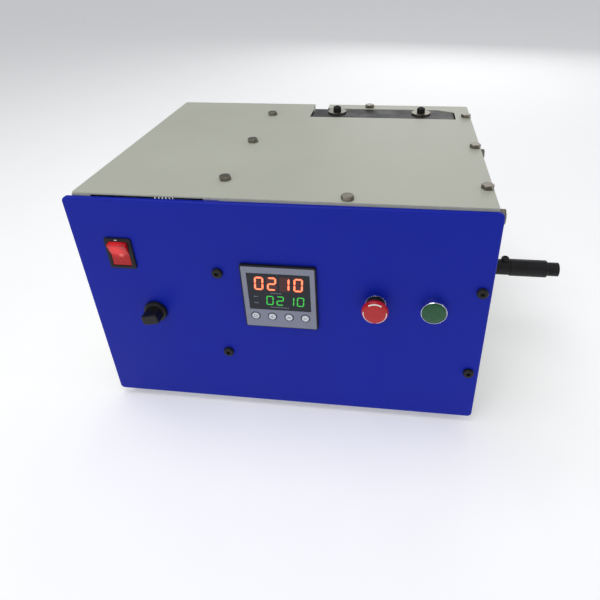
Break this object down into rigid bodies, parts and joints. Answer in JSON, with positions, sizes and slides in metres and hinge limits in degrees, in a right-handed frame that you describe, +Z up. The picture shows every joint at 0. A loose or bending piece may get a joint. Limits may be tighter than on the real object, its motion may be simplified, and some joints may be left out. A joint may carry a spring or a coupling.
{
  "type": "hot foil stamper",
  "caption": "Bench-top hot foil stamper: blue control panel, beige casing, and a heated press head that comes down over an anvil at the rear.",
  "frame": {"origin": "on the bench, under the middle of the machine's bounding box", "axes": "+X to the machine's right as seen from the control panel, along the shaft; +Y from the control panel to the rear; +Z up"},
  "size_m": [0.4906, 0.3146, 0.2593],
  "materials": {
    "panel_blue": "satin powder coat",
    "body_beige": "fine textured powder coat",
    "black_steel": "black oxide, satin",
    "bright_bolt": "nickel plated, satin",
    "machined_steel": "ground steel",
    "bare_aluminium": "satin",
    "bronze": "sintered bronze",
    "die_brass": "engraved brass",
    "foot_rubber": "matte",
    "silicone": "smooth silicone",
    "black_plastic": "fine texture",
    "grey_plastic": "satin",
    "key_white": "satin",
    "display": "dark gloss window",
    "rocker_red": "translucent red, lit",
    "stop_red": "gloss",
    "start_green": "gloss",
    "bezel_chrome": "polished",
    "insulation": "mineral board",
    "zinc_steel": "galvanised",
    "spring_steel": "spring wire",
    "terminal_grey": "moulded"
  },
  "bodies": {
    "casing": {"front_panel": "panel_blue", "top_plate": "body_beige", "left_side_cover": "body_beige", "rear_panel": "body_beige", "rear_guard": "body_beige", "cover_screws": "black_steel", "base_plate": "zinc_steel", "feet": "foot_rubber", "left_frame_plate": "machined_steel", "right_frame_plate": "body_beige", "tie_bars": "body_beige", "guide_plate": "machined_steel", "bronze_bushes": "bronze", "frame_bolts": "bright_bolt", "panel_screws": "black_steel", "rocker_housing": "black_plastic", "selector_body": "black_plastic", "controller_bezel": "black_plastic", "controller_sheet": "grey_plastic", "controller_window": "display", "controller_case": "black_plastic", "estop_housing": "black_plastic", "button_rings": "bezel_chrome", "start_housing": "bezel_chrome", "contact_blocks": "black_plastic", "anvil_block": "machined_steel", "anvil_pad": "silicone", "return_springs": "spring_steel", "actuator_body": "bare_aluminium", "power_supply": "zinc_steel", "heatsink": "bare_aluminium", "solid_state_relay": "black_plastic", "din_rail": "zinc_steel", "terminal_blocks": "terminal_grey", "power_inlet": "black_plastic"},
    "rocker": {"rocker_paddle": "rocker_red"},
    "selector": {"selector_knob": "black_plastic"},
    "set_key": {"key_set": "key_white"},
    "shift_key": {"key_shift": "key_white"},
    "down_key": {"key_down": "key_white"},
    "up_key": {"key_up": "key_white"},
    "stop_stem": {"estop_stem": "black_plastic"},
    "stop_mushroom": {"estop_head": "stop_red"},
    "start_push": {"start_cap": "start_green"},
    "press_head": {"press_beam": "black_steel", "beam_washers": "bright_bolt", "beam_screws": "black_steel", "guide_rods": "machined_steel", "carriage": "machined_steel", "insulation_plate": "insulation", "heater_block": "bare_aluminium", "heaters_and_probe": "machined_steel", "type_holder": "machined_steel", "stamping_die": "die_brass"},
    "shaft": {"rocker_shaft": "black_steel", "press_arms": "black_steel", "drive_arm": "black_steel", "lever_sleeve": "black_steel", "set_screw": "black_steel"},
    "actuator_stem": {"actuator_rod": "machined_steel"}
  },
  "joints": [
    {"name": "power_rocker", "type": "hinge", "parent": "casing", "child": "rocker", "pos_m": [-0.20055, -0.1391, 0.1923], "axis": [1, 0, 0], "range_deg": [-20, 0]},
    {"name": "selector_turn", "type": "hinge", "parent": "casing", "child": "selector", "pos_m": [-0.17875, -0.1403, 0.1255], "axis": [0, 1, 0], "range_deg": [-48, 42]},
    {"name": "start_press", "type": "slide", "parent": "casing", "child": "start_push", "axis": [0, 1, 0], "range_m": [0, 0.0025], "stiffness_N_per_m": 600, "springref_m": -0.001},
    {"name": "stop_press", "type": "slide", "parent": "casing", "child": "stop_stem", "axis": [0, 1, 0], "range_m": [0, 0.004]},
    {"name": "stop_release_twist", "type": "hinge", "parent": "stop_stem", "child": "stop_mushroom", "pos_m": [0.04155, -0.1503, 0.15], "axis": [0, 1, 0], "range_deg": [0, 45], "stiffness_Nm_per_rad": 0.02, "springref_deg": -17.19},
    {"name": "head_slide", "type": "slide", "parent": "casing", "child": "press_head", "axis": [0, 0, 1], "range_m": [-0.029, 0], "stiffness_N_per_m": 1600, "springref_m": 0.045, "deforming": ["return_springs"]},
    {"name": "shaft_turn", "type": "hinge", "parent": "casing", "child": "shaft", "pos_m": [0.01625, -0.0033, 0.11], "axis": [1, 0, 0], "range_deg": [-13.25, 0]},
    {"name": "actuator_slide", "type": "slide", "parent": "casing", "child": "actuator_stem", "axis": [0, 0, 1], "range_m": [0, 0.0209]},
    {"name": "key_set_press", "type": "slide", "parent": "casing", "child": "set_key", "axis": [0, 1, 0], "range_m": [0, 0.0006], "stiffness_N_per_m": 300, "springref_m": -0.001},
    {"name": "key_shift_press", "type": "slide", "parent": "casing", "child": "shift_key", "axis": [0, 1, 0], "range_m": [0, 0.0006], "stiffness_N_per_m": 300, "springref_m": -0.001},
    {"name": "key_down_press", "type": "slide", "parent": "casing", "child": "down_key", "axis": [0, 1, 0], "range_m": [0, 0.0006], "stiffness_N_per_m": 300, "springref_m": -0.001},
    {"name": "key_up_press", "type": "slide", "parent": "casing", "child": "up_key", "axis": [0, 1, 0], "range_m": [0, 0.0006], "stiffness_N_per_m": 300, "springref_m": -0.001}
  ],
  "couplings": [
    {"joint": "shaft_turn", "follows": "head_slide", "rad_per_m": 7.9644},
    {"joint": "actuator_slide", "follows": "head_slide", "ratio": -0.72}
  ]
}
